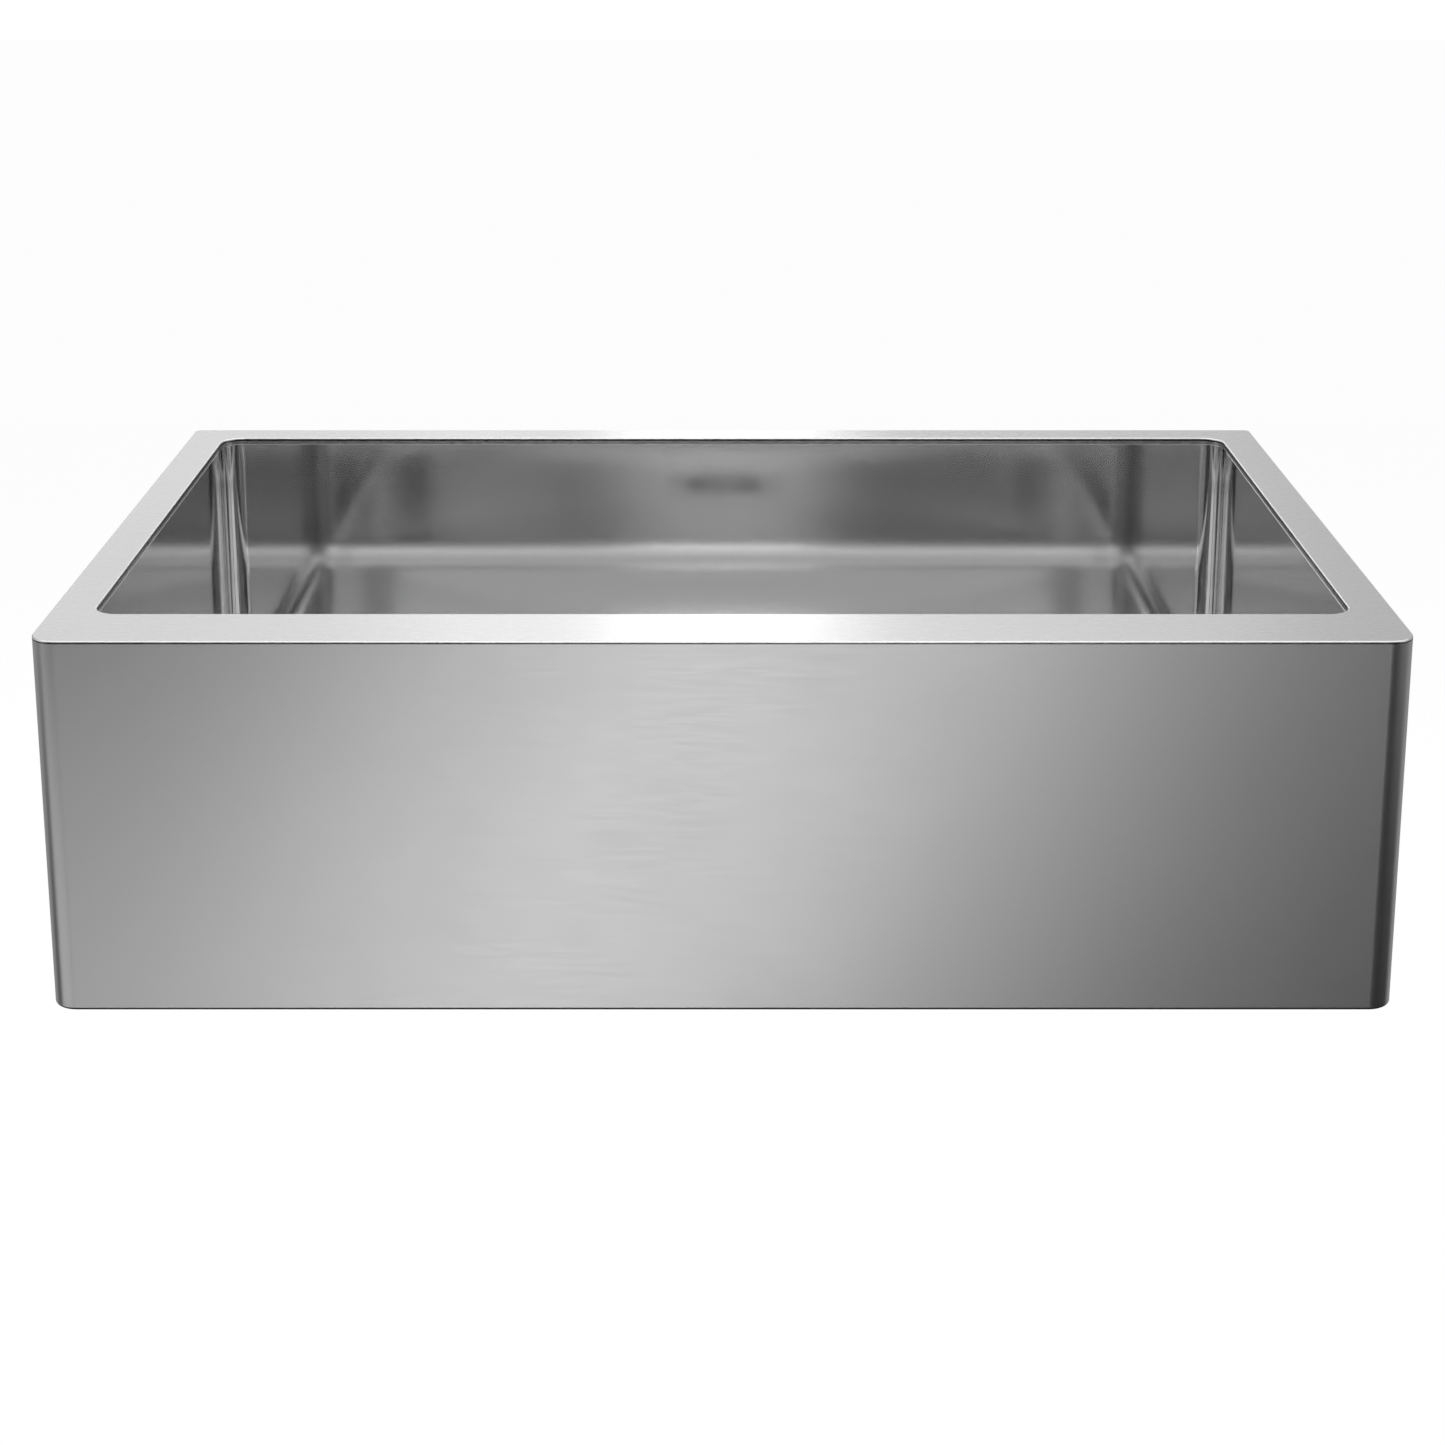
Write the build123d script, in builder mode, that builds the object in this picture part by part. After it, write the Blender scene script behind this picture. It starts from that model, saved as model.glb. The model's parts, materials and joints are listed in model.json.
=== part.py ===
"""Farmhouse apron-front kitchen sink in brushed stainless sheet, with its basket strainer and rim clips.

Frame: millimetres, +Z up, +X to the user's right, +Y from the apron towards the wall.
The origin is the middle of the back rim's underside, on the worktop surface that carries the rim.
"""

from build123d import *

import os
from math import pi

# ---------------------------------------------------------------- driving sizes: sheet metal
overall_width = 838.2  # 33 in
overall_depth = 558.8  # 22 in
apron_height = 241.3  # 9 1/2 in, rim top to the apron's lower edge
sheet = 1.2  # 18 gauge stainless
side_rim = 27.2
back_rim = 27.5
front_rim = 57.0
rim_lip = 3.4  # turned-down edge round the opening, below the rim's underside
rim_edge_radius = 0.8  # worn-in radius on the rim's top edges
back_corner_radius = 4.0
apron_corner_radius = 16.2
apron_return = 65.0  # how far the apron wraps back round each side
apron_flange = 22.0  # inward turn along the apron's lower edge
apron_bend = 2.2  # outside radius of that turn
seam = 0.3  # dressed weld seam, as a fine chamfer

# bowl
bowl_depth = 228.6  # 9 in, rim top to the floor beside the walls
bowl_corner_radius = 16.0
bowl_cove_radius = 15.0
floor_fall = 4.0  # slope from the coves down to the drain
drain_setback = 180.0  # drain axis from the bowl's back wall
recess_radius = 58.5
recess_depth = 3.0
drain_hole_radius = 44.45  # 3 1/2 in outlet

# braces between the apron and the bowl
brace_sheet = 1.5
brace_height = 150.0
brace_top_gap = 40.0
brace_flange = 18.0
brace_inset = 183.0  # brace's middle from the bowl's side wall
brace_bend = 3.0

# sound deadening pads
pad_thickness = 3.0
pad_height = 110.0
pad_side_gap = 76.0  # side pads' ends from the bowl's front and back
pad_back_gap = 112.0  # back pad's ends from the bowl's sides
pad_brace_gap = 30.0  # front pad's ends from the braces
pad_bottom_margin = 34.0
pad_drop = 78.0  # top of the wall pads, below the rim's underside
pad_drain_gap = 6.0

# ---------------------------------------------------------------- driving sizes: rails and clips
rail_width = 12.0
rail_height = 8.5
rail_sheet = 1.2
rail_slot = 6.2
rail_end_gap = 46.0  # side rails' ends from the bowl's front and back
rail_back_length = 200.0
rail_back_inset = 172.0  # back rail's middle from the bowl's side wall
rail_axis_gap = 12.0  # rail centre line from the bowl's outer face

slide_gap = 0.3  # free play of the bolt head in its rail
bolt_radius = 2.5
bolt_head_thickness = 2.6
bolt_length = 58.0
bolt_point = 0.8
clip_end_gap = 72.0  # side clips from their rails' ends

dog_drop = 42.0  # top of the dog's plate, below the rim's underside
dog_thickness = 3.0
dog_width = 12.0
dog_reach = 30.0
dog_tooth_height = 8.0
dog_bore_play = 0.06
part_gap = 0.3

nut_hub_radius = 5.0
nut_hub_height = 6.0
wing_tip_radius = 10.5
wing_thickness = 2.0
wing_height = 10.0
wing_round = 3.0

# ---------------------------------------------------------------- driving sizes: basket strainer
flange_radius = 57.15  # 4 1/2 in flange
flange_thickness = 2.0
flange_edge = 1.0
cup_radius = 42.5  # outside of the threaded barrel
cup_wall = 1.5
cup_barrel = 30.0  # straight inside depth below the flange's underside
cup_cone = 14.0  # height of the cone under the barrel
neck_radius = 23.0  # outside of the threaded outlet
neck_wall = 2.5
neck_length = 12.5
hub_plate = 2.0
hub_hole_radius = 4.3
outlet_hole_radius = 5.2
outlet_hole_circle = 12.6
outlet_hole_count = 5

putty_thickness = 1.0
putty_inner_radius = 46.0
putty_outer_radius = 55.0
gasket_thickness = 3.0
gasket_radius = 56.0
ring_play = 0.5
fibre_thickness = 1.0
thread_play = 0.05
locknut_radius = 52.0
locknut_height = 9.0
locknut_lug_reach = 5.0
locknut_lug_width = 14.0
locknut_lug_count = 8

tailpiece_radius = 19.05  # 1 1/2 in tube
tailpiece_wall = 0.9
tailpiece_length = 58.0
tailpiece_collar = 22.4
tailpiece_collar_thickness = 1.2
washer_thickness = 1.5
slip_nut_flat_radius = 28.0
slip_nut_sides = 8
slip_nut_thread = 10.0
slip_nut_lip = 2.5
slip_nut_lip_play = 1.0

# basket
post_radius = 3.0
post_play = 0.06
post_tail = 9.0  # post below the hub plate's top
shoulder_radius = 6.0
shoulder_height = 2.4
knob_radius = 9.0
knob_height = 7.0
knob_crown = 2.5
knob_top_drop = 2.0  # knob top below the flange's top
clip_radius = 4.0
clip_height = 4.0
clip_drop = 3.0  # under the hub plate
stopper_thickness = 4.0
stopper_lift = 3.0  # stopper underside above the hub plate
seal_gap = 0.3
basket_wall = 0.8
basket_floor_radius = 28.0
basket_radius = 38.4
basket_slope_height = 10.5
basket_rim_drop = 4.0  # rolled rim's centre below the flange's top
basket_roll_radius = 1.3
strain_hole_radius = 1.6
strain_first_ring = 11.0
strain_ring_step = 6.2
strain_ring_count = 3
strain_hole_pitch = 6.4
side_slot_count = 20
side_slot_width = 2.4
side_slot_height = 9.0
side_slot_drop = 8.0  # slot centres below the rolled rim
side_slot_cut = 4.0

# ---------------------------------------------------------------- places worked out from the sizes
rim_top_z = sheet
apron_bottom_z = rim_top_z - apron_height
back_y = back_rim / 2
front_y = back_y - overall_depth
opening_width = overall_width - 2 * side_rim
opening_depth = overall_depth - front_rim - back_rim
bowl_back_y = back_y - back_rim
bowl_front_y = bowl_back_y - opening_depth
bowl_y = (bowl_back_y + bowl_front_y) / 2
rim_y = (back_y + front_y) / 2
floor_z = rim_top_z - bowl_depth
recess_z = floor_z - floor_fall
seat_z = recess_z - recess_depth
drain_y = bowl_back_y - drain_setback

flange_z = seat_z + putty_thickness  # underside of the strainer's flange
barrel_z = flange_z - cup_barrel
hub_z = barrel_z - cup_cone  # top of the hub plate
neck_z = hub_z - hub_plate - neck_length

MIN, MID, MAX = Align.MIN, Align.CENTER, Align.MAX
on_drain = Location((0, drain_y))
drain_plane = Plane(origin=(0, drain_y, 0), x_dir=(1, 0, 0), z_dir=(0, -1, 0))

os.makedirs("parts", exist_ok=True)


def save(piece, name):
    """Label a finished piece and write it as its own STEP file."""
    piece.part.label = name
    export_step(piece.part, f"parts/{name}.step")


def ring(inner, outer, top_z, height):
    """Flat ring on the drain axis, hanging down from top_z."""
    with BuildPart() as flat_ring:
        with BuildSketch(Plane.XY.offset(top_z)):
            with Locations(on_drain):
                Circle(outer)
                Circle(inner, mode=Mode.SUBTRACT)
        extrude(amount=-height)
    return flat_ring


# ---------------------------------------------------------------- rim deck
# One flat frame. Its front corners follow the apron, its back corners are nearly square, and the
# opening has a short lip turned down all round, which the bowl is butt-welded to.
with BuildPart() as rim_deck:
    with BuildSketch():
        with Locations((0, rim_y)):
            Rectangle(overall_width, overall_depth)
        fillet(vertices().group_by(Axis.Y)[0], apron_corner_radius)
        fillet(vertices().group_by(Axis.Y)[-1], back_corner_radius)
    extrude(amount=sheet)
    with BuildSketch(Plane.XY.offset(-rim_lip)):
        with Locations((0, bowl_y)):
            RectangleRounded(
                opening_width + 2 * sheet,
                opening_depth + 2 * sheet,
                bowl_corner_radius + sheet,
            )
    extrude(amount=rim_lip)
    with BuildSketch(Plane.XY.offset(-rim_lip)):
        with Locations((0, bowl_y)):
            RectangleRounded(opening_width, opening_depth, bowl_corner_radius)
    extrude(amount=rim_lip + sheet, mode=Mode.SUBTRACT)
    fillet(faces().sort_by(Axis.Z)[-1].edges(), rim_edge_radius)
save(rim_deck, "rim_deck")

# ---------------------------------------------------------------- apron
# A folded panel under the rim's front edge: front face, two side returns with rolled vertical
# corners, and a narrow flange turned inwards along the bottom.
with BuildPart() as apron_panel:
    with BuildSketch(Plane.XY.offset(apron_bottom_z)):
        with Locations((0, front_y)):
            Rectangle(overall_width, apron_return, align=(MID, MIN))
        fillet(vertices().group_by(Axis.Y)[0], apron_corner_radius)
    extrude(amount=-apron_bottom_z)
    fillet(faces().sort_by(Axis.Z)[0].edges().sort_by(Axis.Y)[:-1], apron_bend)
    with BuildSketch(Plane.XY.offset(apron_bottom_z + sheet)):
        with Locations((0, front_y + sheet)):
            Rectangle(overall_width - 2 * sheet, apron_return, align=(MID, MIN))
        fillet(vertices().group_by(Axis.Y)[0], apron_corner_radius - sheet)
    extrude(amount=-apron_bottom_z, mode=Mode.SUBTRACT)
    with BuildSketch(Plane.XY.offset(apron_bottom_z)):
        with Locations((0, front_y + apron_flange)):
            Rectangle(overall_width - 2 * apron_flange, apron_return, align=(MID, MIN))
    extrude(amount=sheet, mode=Mode.SUBTRACT)
    outer_top_edges = faces().sort_by(Axis.Z)[-1].edges().group_by(Axis.Y)[0]
    chamfer(outer_top_edges, seam)
save(apron_panel, "apron_panel")


# ---------------------------------------------------------------- bowl
def bowl_solid(margin, top_z):
    """Solid that fills the bowl and reaches margin past its inner surface on every side."""
    with BuildPart() as body:
        with BuildSketch(Plane.XY.offset(top_z)):
            with Locations((0, bowl_y)):
                RectangleRounded(
                    opening_width + 2 * margin,
                    opening_depth + 2 * margin,
                    bowl_corner_radius + margin,
                )
        extrude(amount=floor_z - margin - top_z)
        fillet(faces().sort_by(Axis.Z)[0].edges(), bowl_cove_radius + margin)
        with BuildSketch(Plane.XY.offset(floor_z - margin)):
            with Locations((0, bowl_y)):
                Rectangle(opening_width - 2 * bowl_cove_radius, opening_depth - 2 * bowl_cove_radius)
            fillet(vertices(), bowl_corner_radius)
        with BuildSketch(Plane.XY.offset(recess_z - margin)):
            with Locations(on_drain):
                Circle(recess_radius + margin)
        loft(ruled=True)
        with BuildSketch(Plane.XY.offset(recess_z - margin)):
            with Locations(on_drain):
                Circle(recess_radius + margin)
        extrude(amount=-recess_depth)
    return body.part


# A pressed shell: straight walls, rolled corners and coves, a floor that falls to the drain, and a
# flat recess that keeps the strainer's flange below the floor.
with BuildPart() as bowl:
    add(bowl_solid(sheet, -rim_lip))
    add(bowl_solid(0, -rim_lip), mode=Mode.SUBTRACT)
    with BuildSketch(Plane.XY.offset(seat_z)):
        with Locations(on_drain):
            Circle(drain_hole_radius)
    extrude(amount=-sheet, mode=Mode.SUBTRACT)
    chamfer(faces().sort_by(Axis.Z)[-1].inner_wires()[0].edges(), seam)
save(bowl, "bowl")

# ---------------------------------------------------------------- apron braces
# Two upright channels in the gap between the apron and the bowl's front wall, welded to both.
cavity_front_y = front_y + sheet
cavity_back_y = bowl_front_y - sheet
wall_x = opening_width / 2 + sheet  # outer face of the bowl's side walls
brace_x = wall_x - brace_inset
for side, side_name in ((-1, "left"), (1, "right")):
    with BuildPart() as apron_brace:
        with BuildSketch(Plane.XY.offset(-brace_top_gap)):
            with Locations((side * brace_x, cavity_front_y)):
                Rectangle(brace_flange, cavity_back_y - cavity_front_y, align=(MID, MIN))
            fillet(vertices().group_by(Axis.X)[0 if side < 0 else -1], brace_bend)
            with Locations((side * (brace_x - brace_sheet), cavity_front_y + brace_sheet)):
                Rectangle(
                    brace_flange,
                    cavity_back_y - cavity_front_y - 2 * brace_sheet,
                    align=(MID, MIN),
                    mode=Mode.SUBTRACT,
                )
        extrude(amount=-brace_height)
    save(apron_brace, f"apron_brace_{side_name}")

# ---------------------------------------------------------------- sound pads
pad_side_length = opening_depth - 2 * pad_side_gap
pad_back_length = opening_width - 2 * pad_back_gap
pad_front_length = 2 * (brace_x - brace_flange / 2 - pad_brace_gap)
for side, side_name in ((-1, "left"), (1, "right")):
    with BuildPart() as side_pad:
        with BuildSketch(Plane.XY.offset(-pad_drop)):
            with Locations((side * (wall_x + pad_thickness / 2), bowl_y)):
                Rectangle(pad_thickness, pad_side_length)
        extrude(amount=-pad_height)
        fillet(edges().filter_by(Axis.X), pad_thickness)
    save(side_pad, f"sound_pad_{side_name}")

for pad_name, pad_y, pad_length in (
    ("front", bowl_front_y - sheet - pad_thickness / 2, pad_front_length),
    ("back", bowl_back_y + sheet + pad_thickness / 2, pad_back_length),
):
    with BuildPart() as wall_pad:
        with BuildSketch(Plane.XY.offset(-pad_drop)):
            with Locations((0, pad_y)):
                Rectangle(pad_length, pad_thickness)
        extrude(amount=-pad_height)
        fillet(edges().filter_by(Axis.Y), pad_thickness)
    save(wall_pad, f"sound_pad_{pad_name}")

# The bottom pad follows the falling floor and is cut away round the drain.
with BuildPart() as bottom_pad:
    with BuildSketch(Plane.XY.offset(floor_z)):
        with Locations((0, bowl_y)):
            Rectangle(opening_width - 2 * pad_bottom_margin, opening_depth - 2 * pad_bottom_margin)
        fillet(vertices(), bowl_corner_radius)
        with Locations(on_drain):
            Circle(recess_radius + sheet + pad_drain_gap, mode=Mode.SUBTRACT)
    extrude(amount=seat_z - pad_thickness - floor_z)
    add(bowl_solid(sheet + pad_thickness, -rim_lip), mode=Mode.INTERSECT)
    add(bowl_solid(sheet, -rim_lip), mode=Mode.SUBTRACT)
save(bottom_pad, "sound_pad_bottom")

# ---------------------------------------------------------------- clip rails
rail_x = wall_x + rail_axis_gap
rail_side_length = opening_depth - 2 * rail_end_gap
back_rail_x = wall_x - rail_back_inset
rail_back_y = bowl_back_y + sheet + rail_axis_gap


def rail(middle_x, middle_y, across, run, length):
    """Lipped channel, open downwards, welded under the rim; across and run are unit directions."""
    with BuildPart() as channel:
        with BuildSketch(Plane(origin=(middle_x, middle_y, 0), x_dir=across, z_dir=run)):
            with Locations((0, rail_height / 2)):
                Rectangle(rail_width, rail_height)
                Rectangle(
                    rail_width - 2 * rail_sheet,
                    rail_height - 2 * rail_sheet,
                    mode=Mode.SUBTRACT,
                )
            with Locations((0, rail_height - rail_sheet / 2)):
                Rectangle(rail_slot, rail_sheet, mode=Mode.SUBTRACT)
        extrude(amount=length / 2, both=True)
    return channel


save(rail(-rail_x, bowl_y, (1, 0, 0), (0, 1, 0), rail_side_length), "rail_left")
save(rail(rail_x, bowl_y, (1, 0, 0), (0, 1, 0), rail_side_length), "rail_right")
save(rail(-back_rail_x, rail_back_y, (0, -1, 0), (1, 0, 0), rail_back_length), "rail_back_left")
save(rail(back_rail_x, rail_back_y, (0, -1, 0), (1, 0, 0), rail_back_length), "rail_back_right")

# ---------------------------------------------------------------- clips
# Each clip is a bolt whose square head slides in the rail, a dog that swings out under the worktop
# and a wing nut that draws the dog up. As delivered, the dogs lie along the rails.
bolt_head_width = rail_width - 2 * rail_sheet - 2 * slide_gap
bolt_head_z = -(rail_height - rail_sheet) + slide_gap
dog_z = -dog_drop
nut_z = dog_z - dog_thickness - part_gap


def clip_bolt(place):
    """Square-headed bolt hanging in the rail slot."""
    with BuildPart() as bolt:
        with BuildSketch(place.offset(bolt_head_z)):
            Rectangle(bolt_head_width, bolt_head_width)
        extrude(amount=bolt_head_thickness)
        with BuildSketch(place.offset(bolt_head_z)):
            Circle(bolt_radius)
        extrude(amount=-bolt_length)
        chamfer(faces().sort_by(Axis.Z)[0].edges(), bolt_point)
    return bolt


def clip_dog(place):
    """Clamping dog: a flat arm on the bolt, with a tooth turned up at its end."""
    with BuildPart() as dog:
        with BuildSketch(place.offset(dog_z)):
            Circle(dog_width / 2)
            Rectangle(dog_width, dog_reach, align=(MID, MIN))
        extrude(amount=-dog_thickness)
        with BuildSketch(place.offset(dog_z)):
            with Locations((0, dog_reach)):
                Rectangle(dog_width, dog_thickness, align=(MID, MAX))
        extrude(amount=dog_tooth_height)
        with BuildSketch(place.offset(dog_z)):
            Circle(bolt_radius + dog_bore_play)
        extrude(amount=-dog_thickness, mode=Mode.SUBTRACT)
    return dog


def wing_nut(place):
    """Wing nut under the dog, its wings across the arm."""
    wing_plane = Plane(origin=place.origin, x_dir=place.x_dir, z_dir=-place.y_dir)
    with BuildPart() as nut:
        with BuildSketch(wing_plane):
            with Locations((0, nut_z)):
                Rectangle(2 * wing_tip_radius, wing_height, align=(MID, MAX))
            fillet(vertices().group_by(Axis.Z)[0], wing_round)
        extrude(amount=wing_thickness / 2, both=True)
        with BuildSketch(place.offset(nut_z)):
            Circle(nut_hub_radius)
        extrude(amount=-nut_hub_height)
        with BuildSketch(place.offset(nut_z)):
            Circle(bolt_radius + thread_play)
        extrude(amount=-wing_height, mode=Mode.SUBTRACT)
    return nut


def clip_place(clip_x, clip_y, outward):
    """Upright frame on a bolt axis, its local x pointing away from the bowl."""
    return Plane(origin=(clip_x, clip_y, 0), x_dir=outward, z_dir=(0, 0, 1))


clip_front_y = bowl_y - rail_side_length / 2 + clip_end_gap
clip_rear_y = bowl_y + rail_side_length / 2 - clip_end_gap
clip_places = {
    "left_front": clip_place(-rail_x, clip_front_y, (-1, 0, 0)),
    "left_rear": clip_place(-rail_x, clip_rear_y, (-1, 0, 0)),
    "right_front": clip_place(rail_x, clip_front_y, (1, 0, 0)),
    "right_rear": clip_place(rail_x, clip_rear_y, (1, 0, 0)),
    "back_left": clip_place(-back_rail_x, rail_back_y, (0, 1, 0)),
    "back_right": clip_place(back_rail_x, rail_back_y, (0, 1, 0)),
}
for place_name, place in clip_places.items():
    save(clip_bolt(place), f"clip_bolt_{place_name}")
    save(clip_dog(place), f"clip_dog_{place_name}")
    save(wing_nut(place), f"wing_nut_{place_name}")

# ---------------------------------------------------------------- strainer body
# Flange, threaded barrel, cone, hub plate with outlet holes, and a threaded neck, in one piece.
# The sketch plane holds radius along x and height along y.
with BuildPart() as strainer_body:
    with BuildSketch(drain_plane):
        with BuildLine():
            Polyline(
                (0, hub_z),
                (neck_radius - neck_wall, hub_z),
                (cup_radius - cup_wall, barrel_z),
                (cup_radius - cup_wall, flange_z + flange_thickness),
                (flange_radius, flange_z + flange_thickness),
                (flange_radius, flange_z),
                (cup_radius, flange_z),
                (cup_radius, barrel_z - cup_wall),
                (neck_radius, hub_z - hub_plate),
                (neck_radius, neck_z),
                (neck_radius - neck_wall, neck_z),
                (neck_radius - neck_wall, hub_z - hub_plate),
                (0, hub_z - hub_plate),
                close=True,
            )
        make_face()
    revolve(axis=Axis((0, drain_y, 0), (0, 0, 1)))
    fillet(faces().sort_by(Axis.Z)[-1].outer_wire().edges(), flange_edge)
    with BuildSketch(Plane.XY.offset(hub_z)):
        with Locations(on_drain):
            Circle(hub_hole_radius)
            with PolarLocations(outlet_hole_circle, outlet_hole_count):
                Circle(outlet_hole_radius)
    extrude(amount=-hub_plate, mode=Mode.SUBTRACT)
save(strainer_body, "strainer_body")

# ---------------------------------------------------------------- seals and locknut
save(ring(putty_inner_radius, putty_outer_radius, flange_z, putty_thickness), "putty_ring")
under_z = seat_z - sheet  # underside of the recess
ring_inner = cup_radius + ring_play
save(ring(ring_inner, gasket_radius, under_z, gasket_thickness), "rubber_gasket")
fibre_z = under_z - gasket_thickness
save(ring(ring_inner, locknut_radius, fibre_z, fibre_thickness), "fibre_washer")
locknut_z = fibre_z - fibre_thickness
with BuildPart() as locknut:
    with BuildSketch(Plane.XY.offset(locknut_z)):
        with Locations(on_drain):
            Circle(locknut_radius)
            with PolarLocations(locknut_radius, locknut_lug_count):
                Rectangle(2 * locknut_lug_reach, locknut_lug_width)
            Circle(cup_radius + thread_play, mode=Mode.SUBTRACT)
    extrude(amount=-locknut_height)
save(locknut, "locknut")

# ---------------------------------------------------------------- tailpiece and its nut
washer_z = neck_z
collar_z = washer_z - washer_thickness
nut_lip_z = collar_z - tailpiece_collar_thickness
save(ring(tailpiece_radius, tailpiece_collar, washer_z, washer_thickness), "tailpiece_washer")
with BuildPart() as tailpiece:
    with BuildSketch(Plane.XY.offset(collar_z)):
        with Locations(on_drain):
            Circle(tailpiece_collar)
    extrude(amount=-tailpiece_collar_thickness)
    with BuildSketch(Plane.XY.offset(nut_lip_z)):
        with Locations(on_drain):
            Circle(tailpiece_radius)
    extrude(amount=-tailpiece_length)
    with BuildSketch(Plane.XY.offset(collar_z)):
        with Locations(on_drain):
            Circle(tailpiece_radius - tailpiece_wall)
    extrude(amount=-(tailpiece_collar_thickness + tailpiece_length), mode=Mode.SUBTRACT)
save(tailpiece, "tailpiece")

with BuildPart() as slip_nut:
    with BuildSketch(Plane.XY.offset(nut_lip_z - slip_nut_lip)):
        with Locations(on_drain):
            RegularPolygon(slip_nut_flat_radius, slip_nut_sides, major_radius=False)
    extrude(amount=slip_nut_lip + neck_z - nut_lip_z + slip_nut_thread)
    with BuildSketch(Plane.XY.offset(nut_lip_z)):
        with Locations(on_drain):
            Circle(neck_radius + thread_play)
    extrude(amount=neck_z - nut_lip_z + slip_nut_thread, mode=Mode.SUBTRACT)
    with BuildSketch(Plane.XY.offset(nut_lip_z)):
        with Locations(on_drain):
            Circle(tailpiece_radius + slip_nut_lip_play)
    extrude(amount=-slip_nut_lip, mode=Mode.SUBTRACT)
save(slip_nut, "slip_nut")

# ---------------------------------------------------------------- basket, its post and its stopper
stopper_z = hub_z + stopper_lift  # stopper's underside
stopper_top_z = stopper_z + stopper_thickness
basket_floor_z = stopper_top_z + part_gap  # underside of the basket's floor
shoulder_z = basket_floor_z + basket_wall + part_gap
flange_top_z = flange_z + flange_thickness
basket_rim_z = flange_top_z - basket_rim_drop
cone_slope = (cup_radius - cup_wall - neck_radius + neck_wall) / cup_cone


def cone_radius(height_z):
    """Inside radius of the strainer's cone at a height."""
    return neck_radius - neck_wall + (height_z - hub_z) * cone_slope


# Rubber stopper: a tapered disc that closes the cone when the basket is pushed down.
with BuildPart() as stopper_seal:
    with BuildSketch(drain_plane):
        with BuildLine():
            Polyline(
                (post_radius, stopper_z),
                (cone_radius(stopper_z) - seal_gap * cone_slope, stopper_z),
                (cone_radius(stopper_top_z) - seal_gap * cone_slope, stopper_top_z),
                (post_radius, stopper_top_z),
                close=True,
            )
        make_face()
    revolve(axis=Axis((0, drain_y, 0), (0, 0, 1)))
save(stopper_seal, "stopper_seal")

# Post with a shoulder over the basket's floor and a finger knob on top.
knob_top_z = flange_top_z - knob_top_drop
knob_z = knob_top_z - knob_height
with BuildPart() as basket_post:
    with BuildSketch(Plane.XY.offset(hub_z - post_tail)):
        with Locations(on_drain):
            Circle(post_radius)
    extrude(amount=knob_z - hub_z + post_tail)
    with BuildSketch(Plane.XY.offset(shoulder_z)):
        with Locations(on_drain):
            Circle(shoulder_radius)
    extrude(amount=shoulder_height)
    with BuildSketch(Plane.XY.offset(knob_z)):
        with Locations(on_drain):
            Circle(knob_radius)
    extrude(amount=knob_height)
    fillet(faces().sort_by(Axis.Z)[-1].edges(), knob_crown)
save(basket_post, "basket_post")

save(ring(post_radius, clip_radius, hub_z - hub_plate - clip_drop, clip_height), "post_clip")

# Basket: a thin spun cup with a rolled rim, strainer holes in its floor and slots in its side.
with BuildPart() as basket_cup:
    with BuildSketch(drain_plane):
        with BuildLine():
            Polyline(
                (post_radius + post_play, basket_floor_z),
                (basket_floor_radius, basket_floor_z),
                (basket_radius, basket_floor_z + basket_slope_height),
                (basket_radius, basket_rim_z),
                (basket_radius - basket_wall, basket_rim_z),
                (basket_radius - basket_wall, basket_floor_z + basket_slope_height + basket_wall / 2),
                (basket_floor_radius - basket_wall / 2, basket_floor_z + basket_wall),
                (post_radius + post_play, basket_floor_z + basket_wall),
                close=True,
            )
        make_face()
        with Locations((basket_radius - basket_wall / 2, basket_rim_z)):
            Circle(basket_roll_radius)
    revolve(axis=Axis((0, drain_y, 0), (0, 0, 1)))
    with BuildSketch(Plane.XY.offset(basket_floor_z)):
        with Locations(on_drain):
            for ring_index in range(strain_ring_count):
                ring_radius = strain_first_ring + ring_index * strain_ring_step
                hole_count = int(2 * pi * ring_radius / strain_hole_pitch)
                with PolarLocations(ring_radius, hole_count):
                    Circle(strain_hole_radius)
    extrude(amount=basket_wall, mode=Mode.SUBTRACT)
    with Locations((0, drain_y, basket_rim_z - side_slot_drop)):
        with PolarLocations(basket_radius, side_slot_count):
            Box(side_slot_cut, side_slot_width, side_slot_height, mode=Mode.SUBTRACT)
save(basket_cup, "basket_cup")
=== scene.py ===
import json
from math import cos, pi, radians, sin, tan

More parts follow.
